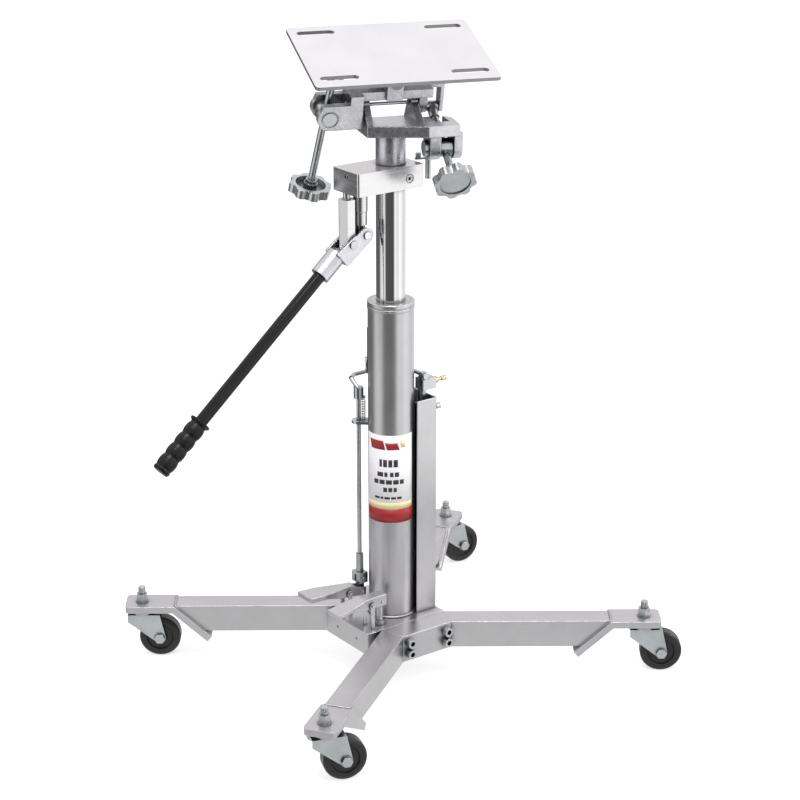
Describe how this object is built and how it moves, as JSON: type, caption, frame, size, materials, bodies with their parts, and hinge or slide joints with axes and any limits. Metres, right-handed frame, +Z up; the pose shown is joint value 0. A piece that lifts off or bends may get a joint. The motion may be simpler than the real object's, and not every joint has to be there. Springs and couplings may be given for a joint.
{
  "type": "transmission jack",
  "caption": "High-lift transmission jack: telescoping hydraulic mast on a splayed caster base, hand pump lever, foot pedals, air inlet and tilting slotted saddle plate.",
  "frame": {"origin": "on the floor under the mast axis", "axes": "+Z up along the mast; +X along the base block, away from the pedals and pump handle, the way the air inlet points; the front leg is at -X -Y"},
  "size_m": [0.9034, 0.6837, 1.1621],
  "materials": {
    "silver_paint": "satin metallic",
    "cast_silver": "satin metallic over grainy castings",
    "machined_steel": "machined",
    "zinc": "bright zinc plate",
    "chrome": "polished",
    "black_gloss": "gloss black",
    "grip_rubber": "moulded",
    "wheel_black": "satin",
    "black_steel": "satin black",
    "brass": "machined",
    "plate_steel": "satin silver"
  },
  "bodies": {
    "base": {"base_block": "silver_paint", "base_plugs": "zinc", "front_hub_tube": "silver_paint", "rear_hub_tube": "silver_paint", "front_leg": "silver_paint", "right_leg": "silver_paint", "back_leg": "silver_paint", "left_leg": "silver_paint", "caster_plates": "silver_paint", "caster_studs": "zinc", "hub_bolts": "zinc", "mast_tube": "silver_paint", "mast_gland_nut": "silver_paint", "column_cover": "silver_paint", "cover_plug": "zinc", "air_motor": "black_steel", "valve_body": "zinc", "air_inlet_plug": "brass", "rod_guide": "zinc", "pedal_brackets": "zinc", "return_spring": "zinc"},
    "stage": {"stage_tube": "chrome"},
    "ram": {"ram_tube": "chrome", "head_block": "machined_steel", "head_plugs": "zinc", "fulcrum_post": "machined_steel", "pump_gland": "machined_steel"},
    "plunger": {"pump_plunger": "machined_steel"},
    "handle": {"handle_yoke": "cast_silver", "fulcrum_pin": "zinc", "handle_tube": "black_gloss", "handle_grip": "grip_rubber"},
    "saddle": {"saddle_base": "cast_silver", "hinge_rod": "zinc", "swivel_lock": "zinc"},
    "tilt": {"tilt_frame": "cast_silver"},
    "plate": {"saddle_plate": "plate_steel"},
    "front_trunnion": {"front_trunnion": "zinc"},
    "front_tip": {"front_screw_tip": "zinc"},
    "front_screw": {"front_screw": "zinc", "front_knob": "zinc"},
    "side_trunnion": {"side_trunnion": "zinc"},
    "side_tip": {"side_screw_tip": "zinc"},
    "side_screw": {"side_screw": "zinc", "side_knob": "zinc"},
    "release_pedal": {"release_pedal": "silver_paint"},
    "release_plunger": {"release_plunger": "zinc"},
    "lift_pedal": {"lift_pedal": "silver_paint"},
    "control_rod": {"control_rod": "zinc", "rod_clevis": "zinc", "rod_head": "zinc"},
    "valve_button": {"valve_button": "zinc"},
    "front_caster": {"front_fork": "zinc"},
    "front_wheel": {"front_wheel": "wheel_black"},
    "right_caster": {"right_fork": "zinc"},
    "right_wheel": {"right_wheel": "wheel_black"},
    "back_caster": {"back_fork": "zinc"},
    "back_wheel": {"back_wheel": "wheel_black"},
    "left_caster": {"left_fork": "zinc"},
    "left_wheel": {"left_wheel": "wheel_black"}
  },
  "joints": [
    {"name": "stage_lift", "type": "slide", "parent": "base", "child": "stage", "axis": [0, 0, 1], "range_m": [0, 0.48]},
    {"name": "ram_lift", "type": "slide", "parent": "stage", "child": "ram", "axis": [0, 0, 1], "range_m": [-0.195, 0.28]},
    {"name": "saddle_swivel", "type": "hinge", "parent": "ram", "child": "saddle", "pos_m": [0, 0, 0.941], "axis": [0, 0, 1], "range_deg": [-60, 8]},
    {"name": "fore_aft_tilt", "type": "hinge", "parent": "saddle", "child": "tilt", "pos_m": [0, 0, 1.045], "axis": [0.9397, -0.342, 0], "range_deg": [-16.4, 8]},
    {"name": "front_trunnion_swing", "type": "hinge", "parent": "saddle", "child": "front_trunnion", "pos_m": [0.06431, -0.06598, 0.972], "axis": [0.9397, -0.342, 0], "range_deg": [-3.3, 1.7]},
    {"name": "front_screw_travel", "type": "slide", "parent": "front_trunnion", "child": "front_tip", "axis": [0.2766, 0.7599, 0.5882], "range_m": [-0.0106, 0.0052]},
    {"name": "front_knob_spin", "type": "hinge", "parent": "front_tip", "child": "front_screw", "pos_m": [0.06431, -0.06598, 0.972], "axis": [0.2766, 0.7599, 0.5882], "continuous": true},
    {"name": "side_tilt", "type": "hinge", "parent": "tilt", "child": "plate", "pos_m": [-0.00483, -0.01327, 1.09297], "axis": [0.3281, 0.9015, 0.2823], "range_deg": [-10, 10]},
    {"name": "side_trunnion_swing", "type": "hinge", "parent": "tilt", "child": "side_trunnion", "pos_m": [-0.10522, 0.0413, 1.03541], "axis": [0.3281, 0.9015, 0.2823], "range_deg": [-1, 1]},
    {"name": "side_screw_travel", "type": "slide", "parent": "side_trunnion", "child": "side_tip", "axis": [0.0286, -0.3082, 0.9509], "range_m": [-0.0182, 0.0182]},
    {"name": "side_knob_spin", "type": "hinge", "parent": "side_tip", "child": "side_screw", "pos_m": [-0.10522, 0.0413, 1.03541], "axis": [0.0286, -0.3082, 0.9509], "continuous": true},
    {"name": "pump_handle", "type": "hinge", "parent": "ram", "child": "handle", "pos_m": [-0.087, 0.008, 0.812], "axis": [0, 1, 0], "range_deg": [-3, 46]},
    {"name": "pump_stroke", "type": "slide", "parent": "ram", "child": "plunger", "axis": [0, 0, 1], "range_m": [-0.0239, 0.0016]},
    {"name": "release_press", "type": "hinge", "parent": "base", "child": "release_pedal", "pos_m": [-0.079, -0.04, 0.149], "axis": [0, -1, 0], "range_deg": [0, 8], "stiffness_Nm_per_rad": 1.2, "springref_deg": -11.46},
    {"name": "release_plunger_lift", "type": "slide", "parent": "base", "child": "release_plunger", "axis": [0, 0, 1], "range_m": [0, 0.0033]},
    {"name": "lift_press", "type": "hinge", "parent": "base", "child": "lift_pedal", "pos_m": [-0.073, 0.039, 0.143], "axis": [0, -1, 0], "range_deg": [0, 10], "stiffness_Nm_per_rad": 2, "springref_deg": -17.19},
    {"name": "control_rod_lift", "type": "slide", "parent": "base", "child": "control_rod", "axis": [0, 0, 1], "range_m": [0, 0.0053], "deforming": ["return_spring"]},
    {"name": "valve_button_lift", "type": "slide", "parent": "base", "child": "valve_button", "axis": [0, 0, 1], "range_m": [0, 0.0053]},
    {"name": "front_caster_swivel", "type": "hinge", "parent": "base", "child": "front_caster", "pos_m": [-0.353, -0.298, 0.084], "axis": [0, 0, 1], "continuous": true},
    {"name": "front_wheel_spin", "type": "hinge", "parent": "front_caster", "child": "front_wheel", "pos_m": [-0.32274, -0.30842, 0.0381], "axis": [0.3256, 0.9455, 0], "continuous": true},
    {"name": "right_caster_swivel", "type": "hinge", "parent": "base", "child": "right_caster", "pos_m": [0.353, -0.298, 0.084], "axis": [0, 0, 1], "continuous": true},
    {"name": "right_wheel_spin", "type": "hinge", "parent": "right_caster", "child": "right_wheel", "pos_m": [0.37881, -0.31692, 0.0381], "axis": [0.5913, 0.8064, 0], "continuous": true},
    {"name": "back_caster_swivel", "type": "hinge", "parent": "base", "child": "back_caster", "pos_m": [0.353, 0.298, 0.084], "axis": [0, 0, 1], "continuous": true},
    {"name": "back_wheel_spin", "type": "hinge", "parent": "back_caster", "child": "back_wheel", "pos_m": [0.38482, 0.29466, 0.0381], "axis": [0.1045, 0.9945, 0], "continuous": true},
    {"name": "left_caster_swivel", "type": "hinge", "parent": "base", "child": "left_caster", "pos_m": [-0.353, 0.298, 0.084], "axis": [0, 0, 1], "continuous": true},
    {"name": "left_wheel_spin", "type": "hinge", "parent": "left_caster", "child": "left_wheel", "pos_m": [-0.32719, 0.27908, 0.0381], "axis": [0.5913, 0.8064, 0], "continuous": true}
  ],
  "couplings": [
    {"joint": "front_trunnion_swing", "follows": "fore_aft_tilt", "ratio": 0.19},
    {"joint": "front_screw_travel", "follows": "fore_aft_tilt", "m_per_rad": 0.0365},
    {"joint": "side_trunnion_swing", "follows": "side_tilt", "ratio": -0.0545},
    {"joint": "side_screw_travel", "follows": "side_tilt", "m_per_rad": 0.1037},
    {"joint": "pump_stroke", "follows": "pump_handle", "m_per_rad": -0.0296},
    {"joint": "release_plunger_lift", "follows": "release_press", "m_per_rad": 0.0235},
    {"joint": "control_rod_lift", "follows": "lift_press", "m_per_rad": 0.0301},
    {"joint": "valve_button_lift", "follows": "lift_press", "m_per_rad": 0.0301}
  ]
}
